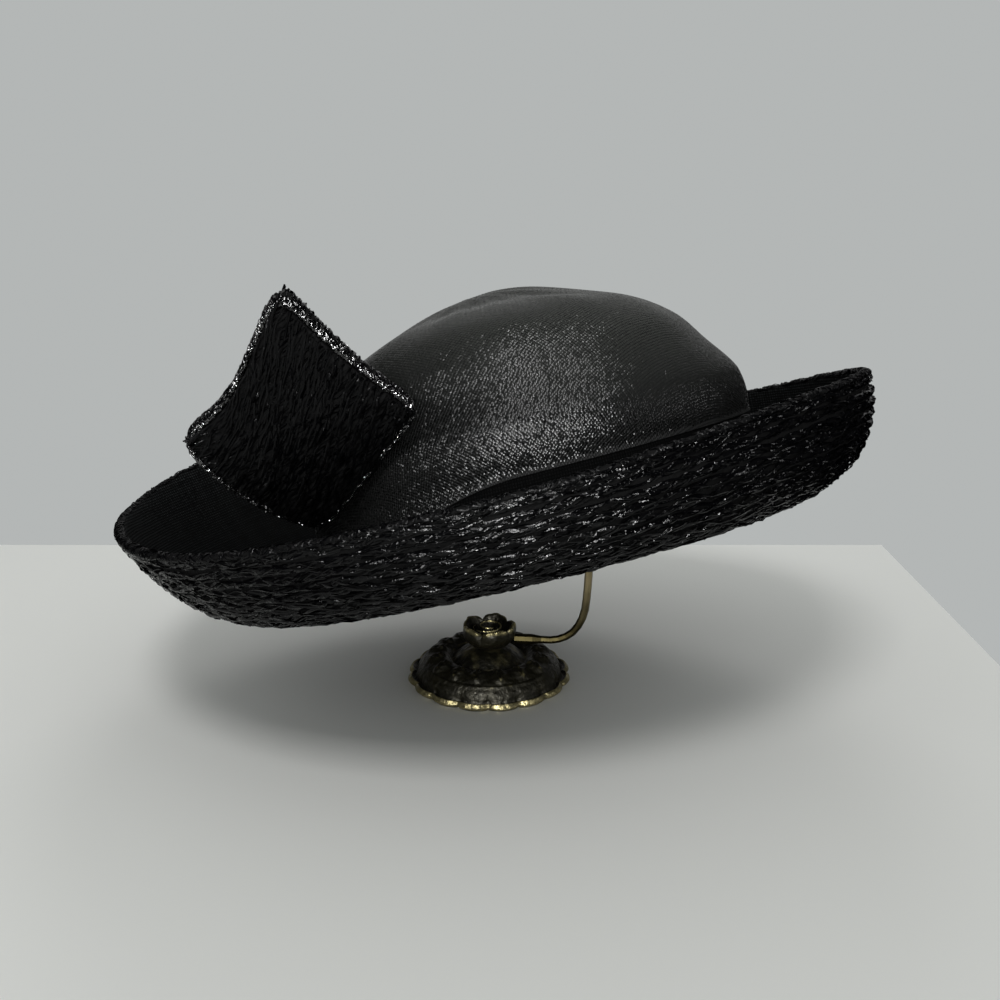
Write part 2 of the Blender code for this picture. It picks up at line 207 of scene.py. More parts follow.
FootRow = namedtuple("FootRow", "out height scallop leaf")
FOOT_PROFILE = (
    FootRow(out=0.960, height=0.0000, scallop=1.0, leaf=0.0),
    FootRow(out=1.000, height=0.0016, scallop=1.0, leaf=0.0),
    FootRow(out=0.970, height=0.0031, scallop=1.0, leaf=0.0),
    FootRow(out=0.905, height=0.0030, scallop=0.7, leaf=0.0),
    FootRow(out=0.860, height=0.0064, scallop=0.2, leaf=0.6),
    FootRow(out=0.770, height=0.0098, scallop=0.0, leaf=1.0),
    FootRow(out=0.660, height=0.0120, scallop=0.0, leaf=-1.0),
    FootRow(out=0.560, height=0.0126, scallop=0.0, leaf=0.4),
    FootRow(out=0.490, height=0.0112, scallop=0.0, leaf=0.0),
    FootRow(out=0.450, height=0.0098, scallop=0.0, leaf=0.0),
    FootRow(out=0.320, height=0.0140, scallop=0.0, leaf=0.0),
    FootRow(out=0.190, height=0.0165, scallop=0.0, leaf=0.0),
)

PetalRow = namedtuple("PetalRow", "radius height wave")
ROSETTE_PROFILE = (
    PetalRow(radius=0.0045, height=0.0168, wave=0.0),
    PetalRow(radius=0.0092, height=0.0178, wave=0.2),
    PetalRow(radius=0.0118, height=0.0206, wave=0.8),
    PetalRow(radius=0.0124, height=0.0240, wave=1.0),
    PetalRow(radius=0.0115, height=0.0266, wave=1.2),
    PetalRow(radius=0.0101, height=0.0260, wave=1.2),
    PetalRow(radius=0.0086, height=0.0222, wave=0.6),
    PetalRow(radius=0.0068, height=0.0214, wave=-0.4),
    PetalRow(radius=0.0050, height=0.0260, wave=-0.8),
    PetalRow(radius=0.0026, height=0.0238, wave=0.0),
)


# Shapes, as arrays of points


def catmull(before, start, end, after, share):
    bend = 2 * before - 5 * start + 4 * end - after
    twist = 3 * (start - end) + after - before
    return start + 0.5 * share * (end - before + share * (bend + share * twist))


def along_table(rows, column, share):
    """Smooth values of a table's column at shares of the way from its first row to its last."""
    values = np.array([getattr(row, column) for row in rows])
    padded = np.concatenate([[2 * values[0] - values[1]], values, [2 * values[-1] - values[-2]]])
    place = np.clip(share, 0.0, 1.0) * (len(values) - 1)
    i = np.minimum(place.astype(int), len(values) - 2)
    return catmull(padded[i], padded[i + 1], padded[i + 2], padded[i + 3], place - i)


def around_table(rows, column, angle):
    values = np.array([getattr(row, column) for row in rows])
    place = (angle / math.tau) % 1.0 * len(rows)
    i = place.astype(int) % len(rows)
    near = [values[(i + k) % len(rows)] for k in (-1, 0, 1, 2)]
    return catmull(*near, place - np.floor(place))


def unit(vectors):
    return vectors / np.maximum(np.linalg.norm(vectors, axis=-1, keepdims=True), 1e-12)


def turn_angles(count):
    """Angles of a full turn in equal steps, without the last."""
    return np.arange(count) * math.tau / count


def travelled(points):
    """Distance along lines of points, from their first row."""
    legs = np.linalg.norm(np.diff(points, axis=0), axis=-1)
    return np.concatenate([np.zeros_like(legs[:1]), np.cumsum(legs, axis=0)])


def travel_share(run, pitch):
    """Turns made along a closed run, in whole turns for the whole of it."""
    return run / run[-1] * round(run[-1] / pitch)


def oval(angle, length, width):
    flat = np.zeros_like(angle)
    return np.stack([0.5 * length * np.cos(angle), 0.5 * width * np.sin(angle), flat], -1)


def crown_point(angle, share):
    angle, share = np.broadcast_arrays(angle, share)
    out = along_table(DOME, "out", share)
    up = along_table(DOME, "up", share)
    point = oval(angle, HEAD_LENGTH + 2 * CLOTH, HEAD_WIDTH + 2 * CLOTH) * out[..., None]
    along = 2 * point[..., 0] / HEAD_LENGTH
    across = 2 * point[..., 1] / HEAD_WIDTH
    height = up.copy()
    for dent in DENTS:
        off = ((along - dent.along) / dent.long) ** 2 + ((across - dent.across) / dent.wide) ** 2
        height -= dent.depth * np.exp(-off) * np.minimum(1.0, 2 * up)
    point[..., 0] -= CROWN_FORWARD * up * up
    point[..., 2] = GAP + CROWN_HEIGHT * height
    return point


def brim_point(angle, share):
    angle, share = np.broadcast_arrays(angle, share)
    roll = around_table(BRIM_AROUND, "roll", angle)
    rise = around_table(BRIM_AROUND, "rise", angle) * RIM_RISE
    out_open = along_table(BRIM_PROFILE, "open", share)
    out_rolled = along_table(BRIM_PROFILE, "rolled", share)
    out = out_open + (out_rolled - out_open) * roll
    edge = oval(angle, HEAD_LENGTH, HEAD_WIDTH)
    rim = oval(angle, RIM_LENGTH, RIM_WIDTH) + np.array([-RIM_FORWARD, 0.0, 0.0])
    point = edge + (rim - edge) * out[..., None]
    drop = around_table(BRIM_AROUND, "drop", angle) * VALLEY_DROP
    point[..., 2] = rise * along_table(BRIM_PROFILE, "up", share)
    point[..., 2] -= drop * along_table(BRIM_PROFILE, "down", share)
    return point


def surface_normal(surface, angle, share):
    step = 1e-3
    low = np.maximum(share - step, 0.0)
    high = np.minimum(share + step, 0.9995)
    outward = surface(angle, high) - surface(angle, low)
    sideways = surface(angle + step, share) - surface(angle - step, share)
    return unit(np.cross(outward, sideways))


def hat_matrix():
    tilt = Matrix.Rotation(math.radians(-HAT_TILT), 3, "Y")
    lean = Matrix.Rotation(math.radians(HAT_LEAN), 3, "X")
    turn = Matrix.Rotation(math.radians(HAT_TURN), 3, "Z")
    return np.array(tilt @ lean @ turn)


HAT_TURNED = hat_matrix()


def in_world(points):
    """Points of the hat's own frame, in the row frame."""
    return points @ HAT_TURNED.T + np.array(HAT_PLACE)


class Skin:
    """A face of the hat, looked up by angle and by distance from its last row of points."""

    def __init__(self, points, normals):
        self.turns = len(points)
        self.step = SKIN_STEP
        legs = np.linalg.norm(np.diff(points, axis=1), axis=-1)
        total = np.cumsum(legs[:, ::-1], axis=1)[:, ::-1]
        from_end = np.concatenate([total, np.zeros((self.turns, 1))], axis=1)
        self.length = from_end[:, 0]
        self.reach = np.arange(0.0, self.length.max() + self.step, self.step)
        self.points = np.empty((self.turns, len(self.reach), 3))
        self.normals = np.empty_like(self.points)
        for i in range(self.turns):
            back = from_end[i, ::-1]
            for axis in range(3):
                self.points[i, :, axis] = np.interp(self.reach, back, points[i, ::-1, axis])
                self.normals[i, :, axis] = np.interp(self.reach, back, normals[i, ::-1, axis])

    def look(self, table, angle, distance):
        place = (angle / math.tau) % 1.0 * self.turns
        i = place.astype(int) % self.turns
        f = (place - np.floor(place))[..., None]
        along = np.clip(distance / self.step, 0, len(self.reach) - 1.001)
        j = along.astype(int)
        g = (along - j)[..., None]
        k = (i + 1) % self.turns
        low = table[i, j] * (1 - g) + table[i, j + 1] * g
        high = table[k, j] * (1 - g) + table[k, j + 1] * g
        return low * (1 - f) + high * f

    def at(self, angle, distance):
        point = self.look(self.points, angle, distance)
        normal = unit(self.look(self.normals, angle, distance))
        return point, normal


BOW_U = unit(BOW_RIGHT - BOW_BOTTOM)
BOW_V = unit(BOW_LEFT - BOW_BOTTOM)
BOW_FRONT = unit(np.cross(BOW_U, BOW_V))


def bow_point(u, v, lift):
    u, v, lift = np.broadcast_arrays(u, v, lift)
    lower = BOW_BOTTOM + (BOW_RIGHT - BOW_BOTTOM) * u[..., None]
    upper = BOW_LEFT + (BOW_TOP - BOW_LEFT) * u[..., None]
    point = lower + (upper - lower) * v[..., None]
    point = point - (BOW_HOLLOW_SIDE * 6.75 * u * (1 - u) ** 2 * v)[..., None] * BOW_V
    point = point - (BOW_HOLLOW_RIGHT * 4 * v * (1 - v) * u)[..., None] * BOW_U
    point = point - (BOW_ROUND_SIDE * 4 * v * (1 - v) * (1 - u))[..., None] * BOW_U
    return point + lift[..., None] * BOW_FRONT


def bow_thickness(v):
    return BOW_THICKNESS * (1 - BOW_THINNING * (1 - v))


def bow_ring(size, depth_share, inset=0.0, count=144):
    width = np.linalg.norm(BOW_RIGHT - BOW_BOTTOM)
    angle = turn_angles(count)
    across = np.cos(angle)
    up = np.sin(angle)
    power = BOW_CORNER_POWER
    reach = (np.abs(across) ** power + np.abs(up) ** power) ** (-1 / power)
    reach = reach * (size - 2 * inset / width)
    u = 0.5 + 0.5 * reach * across
    v = 0.5 + 0.5 * reach * up
    puff = BOW_PUFF * (1 - size * size) * (1 - 2 * depth_share)
    return bow_point(u, v, puff - depth_share * bow_thickness(v))


# Meshes


def add_piece(name, vertices, faces, material, uv=None, shares=None, stands_for=(), slot=None):
    """Mesh object from arrays; uv is a pair per vertex, shares one number per vertex."""
    mesh = bpy.data.meshes.new(name)
    mesh.vertices.add(len(vertices))
    mesh.vertices.foreach_set("co", np.ascontiguousarray(vertices, dtype=np.float32).ravel())
    size = faces.shape[1]
    mesh.loops.add(faces.size)
    mesh.loops.foreach_set("vertex_index", faces.astype(np.int32).ravel())
    mesh.polygons.add(len(faces))
    mesh.polygons.foreach_set("loop_start", np.arange(len(faces), dtype=np.int32) * size)
    mesh.update(calc_edges=True)
    mesh.validate()
    mesh.shade_smooth()
    if uv is not None:
        layer = mesh.uv_layers.new(name="weave")
        corners = np.empty(len(mesh.loops), dtype=np.int32)
        mesh.loops.foreach_get("vertex_index", corners)
        layer.data.foreach_set("uv", uv[corners].astype(np.float32).ravel())
    if shares is not None:
        attribute = mesh.attributes.new(name="share", type="FLOAT", domain="POINT")
        attribute.data.foreach_set("value", shares.astype(np.float32))
    obj = bpy.data.objects.new(name, mesh)
    bpy.context.scene.collection.objects.link(obj)
    mesh.materials.append(material)
    if slot:
        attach(obj, "root")
    if stands_for:
        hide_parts(*stands_for)
    return obj


def grid_faces(rows, columns, start=0, wrap=True):
    """Quads of a grid of points in rows, closed round each row."""
    i, j = np.meshgrid(np.arange(rows - 1), np.arange(columns if wrap else columns - 1))
    i = i.ravel()
    j = j.ravel()
    k = (j + 1) % columns
    corners = [i * columns + j, i * columns + k, (i + 1) * columns + k, (i + 1) * columns + j]
    return start + np.stack(corners, -1)


def add_grid(name, points, material, uv=None, shares=None, **kind):
    """Object from points in closed rows: an array of rows, columns and coordinates."""
    rows, columns = points.shape[:2]
    flat_uv = None if uv is None else uv.reshape(-1, 2)
    flat_shares = None if shares is None else shares.reshape(-1)
    faces = grid_faces(rows, columns)
    return add_piece(name, points.reshape(-1, 3), faces, material, flat_uv, flat_shares, **kind)


class Strands:
    """Flat strands gathered into one mesh, each along a line of points."""

    def __init__(self):
        self.vertices = []
        self.faces = []
        self.shares = []
        self.count = 0

    def add(self, line, across, out, width, thickness, share):
        """A strand with a lens section: across and out are unit vectors at each point."""
        number = len(line)
        width = np.broadcast_to(width, number)[:, None]
        thickness = np.broadcast_to(thickness, number)[:, None]
        section = np.stack(
            [
                line - 0.5 * width * across,
                line + 0.5 * thickness * out,
                line + 0.5 * width * across,
                line - 0.5 * thickness * out,
            ],
            1,
        )
        self.vertices.append(section.reshape(-1, 3))
        self.faces.append(grid_faces(number, 4, self.count))
        first = self.count
        last = self.count + 4 * (number - 1)
        self.faces.append(np.array([[first, first + 1, first + 2, first + 3]]))
        self.faces.append(np.array([[last + 3, last + 2, last + 1, last]]))
        self.shares.append(np.full(4 * number, share))
        self.count += 4 * number

    def lay(self, line, out, roll, width, thickness, share):
        """A strand that faces out and rolls about its own line."""
        ahead = unit(np.gradient(line, axis=0))
        side = unit(np.cross(out, ahead))
        across = side * np.cos(roll)[:, None] + out * np.sin(roll)[:, None]
        self.add(line, across, np.cross(ahead, across), width, thickness, share)

    def build(self, name, material, **kind):
        piece = add_piece(
            name,
            in_world(np.concatenate(self.vertices)),
            np.concatenate(self.faces),
            material,
            shares=np.concatenate(self.shares),
            **kind,
        )
        piece.data.shade_flat()
        return piece


# Materials


class Nodes:
    """Short way to write a material's nodes."""

    def __init__(self, name):
        self.material = bpy.data.materials.new(name)
        self.material.use_nodes = True
        self.tree = self.material.node_tree
        self.shader = self.tree.nodes["Principled BSDF"]

    def put(self, value, socket):
        if isinstance(value, (int, float, tuple)):
            socket.default_value = value
        else:
            self.tree.links.new(value, socket)

    def math(self, operation, first, second=0.0, clamp=False):
        node = self.tree.nodes.new("ShaderNodeMath")
        node.operation = operation
        node.use_clamp = clamp
        for value, socket in zip((first, second), node.inputs):
            self.put(value, socket)
        return node.outputs[0]

    def times(self, first, second):
        return self.math("MULTIPLY", first, second)

    def plus(self, first, second):
        return self.math("ADD", first, second)

    def minus(self, first, second):
        return self.math("SUBTRACT", first, second)

    def mix(self, share, low, high):
        """Colour between two colours."""
        node = self.tree.nodes.new("ShaderNodeMix")
        node.data_type = "RGBA"
        self.put(share, node.inputs["Factor"])
        self.put(low, node.inputs["A"])
        self.put(high, node.inputs["B"])
        return node.outputs["Result"]

    def ramp(self, value, low, high, start=0.0, end=1.0):
        """Value mapped from low..high to start..end, clamped."""
        node = self.tree.nodes.new("ShaderNodeMapRange")
        node.clamp = True
        for item, socket in zip((value, low, high, start, end), node.inputs):
            self.put(item, socket)
        return node.outputs["Result"]

    def noise(self, scale, detail=2.0):
        node = self.tree.nodes.new("ShaderNodeTexNoise")
        node.inputs["Scale"].default_value = scale
        node.inputs["Detail"].default_value = detail
        self.put(self.place(), node.inputs["Vector"])
        return node.outputs["Fac"]

    def place(self):
        node = self.tree.nodes.new("ShaderNodeTexCoord")
        return node.outputs["Object"]

    def level(self):
        """Height over the floor."""
        split = self.tree.nodes.new("ShaderNodeSeparateXYZ")
        self.tree.links.new(self.place(), split.inputs[0])
        return split.outputs["Z"]

    def uv(self):
        node = self.tree.nodes.new("ShaderNodeUVMap")
        node.uv_map = "weave"
        split = self.tree.nodes.new("ShaderNodeSeparateXYZ")
        self.tree.links.new(node.outputs["UV"], split.inputs[0])
        return split.outputs["X"], split.outputs["Y"]

    def share(self):
        node = self.tree.nodes.new("ShaderNodeAttribute")
        node.attribute_name = "share"
        return node.outputs["Fac"]

    def own(self):
        """Random number for each strand, from its share."""
        return self.random(self.times(self.share(), 977.0))

    def random(self, value, other=0.0):
        """Random number for each pair of numbers."""
        node = self.tree.nodes.new("ShaderNodeTexWhiteNoise")
        node.noise_dimensions = "2D"
        join = self.tree.nodes.new("ShaderNodeCombineXYZ")
        self.put(value, join.inputs["X"])
        self.put(other, join.inputs["Y"])
        self.tree.links.new(join.outputs[0], node.inputs["Vector"])
        return node.outputs["Value"]

    def bump(self, height, distance, strength=1.0, before=None):
        node = self.tree.nodes.new("ShaderNodeBump")
        node.inputs["Strength"].default_value = strength
        node.inputs["Distance"].default_value = distance
        self.put(height, node.inputs["Height"])
        if before is not None:
            self.put(before, node.inputs["Normal"])
        return node.outputs["Normal"]

    def finish(self, **inputs):
        for name, value in inputs.items():
            self.put(value, self.shader.inputs[name.replace("_", " ")])
        return self.material


def straw_cloth(name, dark, light, rough, relief, specular, valley_shade=False):
    """Plain weave of split straw; where the valley is shaded, its colour is painted dark at share
    0, by the crown, and full at share 1, a painted shade.
    """
    n = Nodes(name)
    u, v = n.uv()
    wander = n.noise(38.0, 2.0)
    shift = n.times(n.minus(wander, 0.5), 1.1)
    across = n.plus(n.math("DIVIDE", u, WEAVE), shift)
    along = n.minus(n.math("DIVIDE", v, WEAVE), shift)
    column = n.math("FLOOR", across)
    row = n.math("FLOOR", along)
    over = n.math("PINGPONG", n.plus(column, row), 1.0)
    under = n.minus(1.0, over)
    part_across = n.minus(n.math("FRACT", across), 0.5)
    part_along = n.minus(n.math("FRACT", along), 0.5)
    round_across = n.math("COSINE", n.times(part_across, 3.1))
    round_along = n.math("COSINE", n.times(part_along, 3.1))
    upright = n.times(n.math("POWER", round_across, 0.5), round_along)
    level = n.times(n.math("POWER", round_along, 0.5), round_across)
    height = n.times(over, upright)
    height = n.plus(height, n.times(under, level))
    strand = n.times(over, n.random(column))
    strand = n.plus(strand, n.times(under, n.random(row, 7.0)))
    cell = n.random(column, row)
    fine = n.noise(1500.0, 3.0)
    blotch = n.noise(26.0, 3.0)
    tone = n.plus(n.times(strand, 0.45), n.times(cell, 0.35))
    tone = n.plus(tone, n.times(blotch, 0.30))
    # Painted highlight and shade: each thread is painted lighter on its raised top and darker down
    # towards the gaps, over its own random tone.
    tone = n.math("MULTIPLY", tone, n.math("POWER", height, 2.2), clamp=True)
    if valley_shade:
        # Painted shade: the cloth darkens towards the crown, where the deep valley lies in shade.
        tone = n.times(tone, n.ramp(n.share(), 0.45, 1.0, 0.04, 1.0))
    colour = n.mix(tone, dark, light)
    spread = n.plus(cell, n.times(fine, 0.4))
    spread = n.plus(spread, n.times(n.minus(1.0, height), 0.6))
    shine = n.ramp(spread, 0.1, 1.5, rough, rough + 0.25)
    tilt = n.times(n.minus(cell, 0.5), 0.5)
    normal = n.bump(n.plus(height, tilt), relief, 1.0)
    normal = n.bump(fine, 0.00005, 0.5, normal)
    return n.finish(Base_Color=colour, Roughness=shine, Normal=normal, Specular_IOR_Level=specular)


def glossy_straw(name, gloss, spread, specular):
    """Black lacquered straw: shiny flat strands with fine ribs and crumples."""
    n = Nodes(name)
    own = n.own()
    rib = n.noise(2600.0, 2.0)
    crumple = n.noise(700.0, 2.0)
    worn = n.noise(90.0, 2.0)
    colour = n.mix(own, (0.0015, 0.0015, 0.0020, 1.0), (0.0050, 0.0049, 0.0054, 1.0))
    mixed = n.plus(n.times(own, 0.5), n.times(crumple, 0.5))
    mixed = n.plus(mixed, n.times(n.minus(worn, 0.5), 0.7))
    rough = n.ramp(mixed, 0.2, 0.8, gloss, gloss + spread)
    normal = n.bump(crumple, 0.0004, 0.6)
    normal = n.bump(rib, 0.00008, 0.4, normal)
    return n.finish(Base_Color=colour, Roughness=rough, Normal=normal, Specular_IOR_Level=specular)


def woven_float(name):
    """Dark straw of the crown's weave: each pillow shines at its own spot, and its colour is
    painted lighter towards the crown's top, a painted sheen.
    """
    n = Nodes(name)
    own = n.own()
    blotch = n.noise(30.0, 3.0)
    mixed = n.plus(n.times(own, 0.6), n.times(blotch, 0.4))
    colour = n.mix(mixed, (0.0020, 0.0022, 0.0021, 1.0), (0.010, 0.0105, 0.010, 1.0))
    # Painted sheen: the floats are painted lighter towards the crown's top, for the grey that a
    # grazing view gives there.
    colour = n.mix(n.ramp(n.level(), 0.145, 0.178), colour, (0.060, 0.062, 0.057, 1.0))
    rough = n.ramp(mixed, 0.2, 0.8, 0.12, 0.26)
    return n.finish(
        Base_Color=colour,
        Roughness=rough,
        Specular_IOR_Level=0.24,
        Sheen_Weight=0.10,
        Sheen_Roughness=0.30,
    )


def dull_backing(name):
    n = Nodes(name)
    normal = n.bump(n.noise(900.0, 3.0), 0.0006, 0.8)
    colour = n.mix(n.noise(200.0), (0.0008, 0.0008, 0.0010, 1.0), (0.0025, 0.0025, 0.0028, 1.0))
    return n.finish(Base_Color=colour, Roughness=0.8, Normal=normal, Specular_IOR_Level=0.1)


def aged_brass(name, bright):
    """Brass with dark patina in its hollows and bare metal on its edges."""
    n = Nodes(name)
    worn = n.share()
    patch = n.noise(190.0, 4.0)
    grime = n.noise(800.0, 3.0)
    bare = n.plus(worn, n.times(n.minus(patch, 0.5), 0.8))
    bare = n.ramp(bare, 0.35, 0.95)
    bare = n.times(bare, bright)
    colour = n.mix(patch, (0.007, 0.0063, 0.0025, 1.0), (0.030, 0.026, 0.0105, 1.0))
    colour = n.mix(bare, colour, (0.38, 0.33, 0.165, 1.0))
    metal = n.plus(0.35, n.times(bare, 0.50))
    rough = n.ramp(grime, 0.3, 0.7, 0.34, 0.56)
    rough = n.minus(rough, n.times(bare, 0.14))
    normal = n.bump(grime, 0.00015, 0.6)
    normal = n.bump(n.noise(330.0, 2.0), 0.0011, 0.8, normal)
    return n.finish(
        Base_Color=colour,
        Metallic=metal,
        Roughness=rough,
        Normal=normal,
        Specular_IOR_Level=0.25,
    )


def plain_card(name, colour, grain):
    n = Nodes(name)
    tone = n.noise(3.0, 3.0)
    low = tuple(0.985 * part for part in colour[:3]) + (1.0,)
    normal = n.bump(n.noise(grain, 2.0), 0.0003, 0.15)
    return n.finish(Base_Color=n.mix(tone, low, colour), Roughness=0.62, Normal=normal)


crown_dark = (0.0020, 0.0022, 0.0021, 1.0)
crown_light = (0.020, 0.021, 0.020, 1.0)
brim_dark = (0.0008, 0.0009, 0.0010, 1.0)
brim_light = (0.034, 0.037, 0.037, 1.0)
crown_material = straw_cloth("crown_cloth", crown_dark, crown_light, 0.45, 0.00020, 0.15)
weave_material = woven_float("crown_floats")
# The brim's cloth gets painted shade in its valley by the crown.
brim_material = straw_cloth("brim_cloth", brim_dark, brim_light, 0.60, 0.00025, 0.03, True)
braid_material = glossy_straw("braid_strands", 0.04, 0.11, 0.14)
bow_material = glossy_straw("bow_strands", 0.12, 0.24, 0.09)
sparkle_material = glossy_straw("edging_strands", 0.03, 0.12, 0.95)
backing_material = dull_backing("backing")
brass_material = aged_brass("cast_brass", 0.9)


# Crown and brim


def thick_sheet(outer, inner):
    """Closed rows of a sheet: the outside, the inside back again, and the first row."""
    return np.concatenate([outer, inner[::-1], outer[:1]])


def make_crown():
    angle = turn_angles(CROWN_COLUMNS)
    share = np.concatenate([np.linspace(0.0, 0.9, 50), np.linspace(0.91, 0.9992, 14)])
    angles, shares = np.meshgrid(angle, share)
    points = crown_point(angles, shares)
    normals = -surface_normal(crown_point, angles, shares)
    soft = 0.00035 * np.sin(7 * angles + 3 * shares) * np.sin(5 * shares + 2 * angles)
    soft += 0.00025 * np.sin(13 * angles - 9 * shares)
    soft *= 1 - shares**4
    hem = np.exp(-((shares / HEM_SHARE) ** 2))
    points = points + normals * (soft * (1 - hem))[..., None]
    down = np.linspace(1.0, 0.05, SKIRT_ROWS)
    below, belows = np.meshgrid(angle, down)
    front_left = np.clip((SKIRT_START - np.degrees(below)) / SKIRT_SPREAD, 0.0, 1.0) ** 2
    front_left = front_left * (below > math.pi)
    belows = belows * (COLLAR_TUCK + (COLLAR_COVER - COLLAR_TUCK) * front_left)
    under = surface_normal(brim_point, below, belows)
    points = np.concatenate([brim_point(below, belows) + SKIRT_CLEARANCE * under, points])
    normals = np.concatenate([under, normals])
    angles = np.concatenate([below, angles])
    near = slice(SKIRT_ROWS - 5, SKIRT_ROWS + 8)
    for _ in range(HEM_SMOOTHING):
        rows = points[near.start - 1 : near.stop + 1]
        points[near] = 0.25 * rows[:-2] + 0.5 * rows[1:-1] + 0.25 * rows[2:]
    thickness = np.full((len(points), 1, 1), CLOTH)
    thickness[:SKIRT_ROWS] = SKIRT_THICKNESS
    inner = points - normals * thickness
    from_edge = travelled(points)
    from_top = from_edge[-1:] - from_edge
    turned = angles + math.radians(WEAVE_TURN)
    uv = np.stack([from_top * np.cos(turned), from_top * np.sin(turned)], -1)
    add_grid(
        "crown_cloth",
        in_world(thick_sheet(points, inner)),
        crown_material,
        uv=thick_sheet(uv, uv),
        stands_for=("crown",),
        slot="straw_cloth",
    )
    return Skin(points.transpose(1, 0, 2), normals.transpose(1, 0, 2))


def make_crown_weave(skin):
    """The straws of the plain weave, each a small pillow where it passes over another."""
    reach = int(skin.length.max() / WEAVE) + 1
    column, row = np.meshgrid(np.arange(-reach, reach), np.arange(-reach, reach))
    column = column.ravel()
    row = row.ravel()
    distance = WEAVE * np.hypot(column + 0.5, row + 0.5)
    angle = np.arctan2(row + 0.5, column + 0.5) - math.radians(WEAVE_TURN)
    place = ((angle / math.tau) % 1.0 * skin.turns).astype(int) % skin.turns
    kept = (distance < skin.length[place] - WEAVE) & (distance > TOP_CLEARANCE)
    column = column[kept]
    row = row[kept]
    count = len(column)
    upright = (column + row) % 2 == 0
    half_u = WEAVE * np.where(upright, FLOAT_WIDTH, FLOAT_LENGTH)
    half_v = WEAVE * np.where(upright, FLOAT_LENGTH, FLOAT_WIDTH)
    drift = rng.uniform(-FLOAT_DRIFT, FLOAT_DRIFT, (2, count)) * WEAVE
    lean = rng.normal(0.0, FLOAT_LEAN, (2, count))
    vertices = []
    for along_u, along_v in ((-1, -1), (1, -1), (1, 1), (-1, 1), (0, 0)):
        u = WEAVE * (column + 0.5) + drift[0] + along_u * half_u
        v = WEAVE * (row + 0.5) + drift[1] + along_v * half_v
        at = np.arctan2(v, u) - math.radians(WEAVE_TURN)
        point, normal = skin.at(at, np.hypot(u, v))
        lift = FLOAT_BASE + lean[0] * along_u + lean[1] * along_v
        if along_u == 0:
            lift = lift + FLOAT_RISE
        vertices.append(point + normal * lift[:, None])
    middle = len(vertices) - 1
    first = len(vertices) * np.arange(count)[:, None]
    sides = [first + np.array([[k, (k + 1) % middle, middle]]) for k in range(middle)]
    add_piece(
        "crown_weave",
        in_world(np.stack(vertices, 1).reshape(-1, 3)),
        np.concatenate(sides),
        weave_material,
        shares=np.repeat(rng.uniform(size=count), len(vertices)),
        slot="straw_cloth",
    )


def make_brim():
    angles, shares = np.meshgrid(turn_angles(BRIM_COLUMNS), np.linspace(0.0, 1.0, BRIM_ROWS))
    points = brim_point(angles, shares)
    normals = surface_normal(brim_point, angles, shares)
    uv = np.stack([angles * MEAN_RADIUS, travelled(points)], -1)
    add_grid(
        "brim_cloth",
        in_world(thick_sheet(points, points - normals * CLOTH)),
        brim_material,
        uv=thick_sheet(uv, uv),
        shares=thick_sheet(shares, shares),
        stands_for=("brim",),
        slot="straw_cloth",
    )


# Sewn braid under and outside the brim


def underside(depth):
    """The brim's lower face, measured from the rim."""
    share = np.linspace(COVER_START, 1.0, 161)
    angles, shares = np.meshgrid(turn_angles(SKIN_COLUMNS), share, indexing="ij")
    normals = -surface_normal(brim_point, angles, shares)
    return Skin(brim_point(angles, shares) + depth * normals, normals)


def smooth_noise(count, every, crease=0.0):
    """Random numbers from -1 to 1, a new one every few samples; a crease makes level steps."""
    knots = rng.uniform(-1, 1, int(count / every) + 3)
    place = np.linspace(0, len(knots) - 1.001, count)
    i = place.astype(int)
    f = np.clip((place - i - 0.5) / (1.0 - crease) + 0.5, 0.0, 1.0)
    f = f * f * (3 - 2 * f)
    return knots[i] * (1 - f) + knots[i + 1] * f


def plait_row(strands, surface, distance, start, end, step):
    """One row of loose plait along the brim, from a start angle to an end angle."""
    coarse = np.linspace(start, end, 400)
    centre, _ = surface.at(coarse, np.full_like(coarse, distance))
    run = travelled(centre)
    count = max(int(run[-1] / step), 4)
    travel = np.linspace(0.0, run[-1], count)
    angle = np.interp(travel, run, coarse)
    per = 0.001 / step
    wobble = 0.0004 * smooth_noise(count, 30 * per)
    half = 0.5 * ROW_WIDTH - 0.65 * STRAND_WIDTH
    for k in range(ROW_STRANDS):
        phase = math.tau * (travel / PLAIT + k / ROW_STRANDS) + 1.2 * smooth_noise(count, 20 * per)
        swing = half * np.sin(phase) * (1.0 + 0.2 * smooth_noise(count, 9 * per))
        swing = swing + 0.00014 * smooth_noise(count, 4 * per)
        part = swing / half
        lift = ROW_BULGE * (1 - 0.6 * part * part) + 0.00030 * np.sin(2 * phase + k)
        lift = lift + 0.00025 * smooth_noise(count, 5 * per)
        point, normal = surface.at(angle, np.maximum(distance + wobble + swing, 0.0002))
        point = point + normal * (0.0002 + lift)[:, None]
        roll = 0.85 * smooth_noise(count, 5 * per, 0.5) + 0.6 * part
        width = STRAND_WIDTH * (1.0 + 0.40 * smooth_noise(count, 5 * per))
        strands.lay(point, normal, roll, width, STRAND_THICKNESS, rng.uniform())


